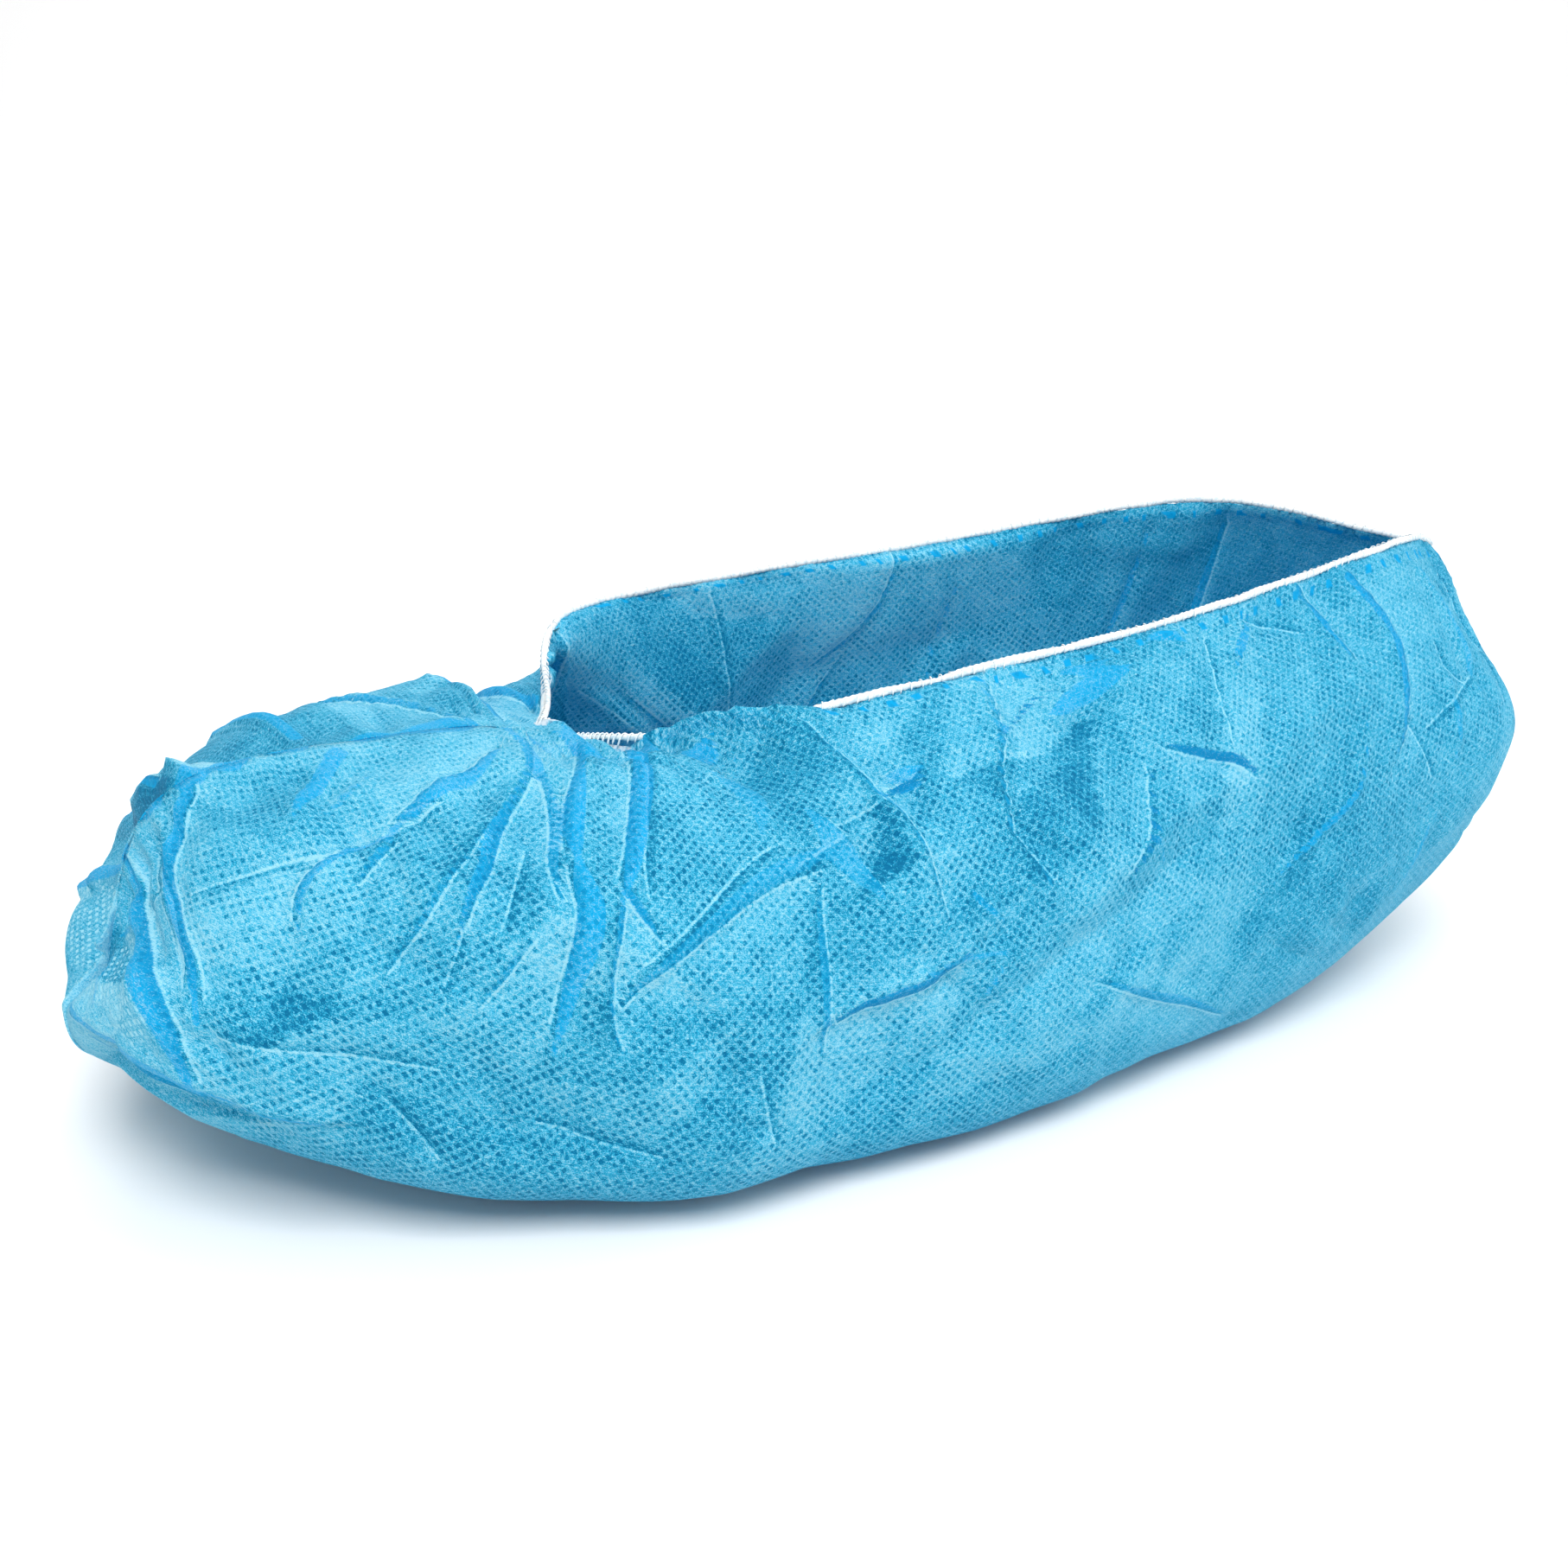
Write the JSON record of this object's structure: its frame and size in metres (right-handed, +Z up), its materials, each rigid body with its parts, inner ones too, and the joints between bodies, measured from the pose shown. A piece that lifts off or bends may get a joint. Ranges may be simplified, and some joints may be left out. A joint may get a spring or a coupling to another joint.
{
  "type": "disposable shoe cover",
  "caption": "Disposable non-woven shoe cover in its worn shape, a hollow boat-shaped bag with an elastic edge round the opening for the foot",
  "frame": {"origin": "centre of the bounding box in X and Y, on the surface that the sole rests on", "axes": "+X from toe to heel along the foot, +Z up, the outer side of the foot faces -Y"},
  "size_m": [0.3372, 0.1364, 0.1029],
  "materials": {
    "nonwoven_fabric": "spunbonded, point embossed, slightly translucent",
    "elastic_white": "overlocked elastic thread"
  },
  "bodies": {
    "root": {"cover_sheet": "nonwoven_fabric", "elastic_edge": "elastic_white", "toe_seam": "nonwoven_fabric", "heel_seam": "nonwoven_fabric"}
  },
  "joints": []
}
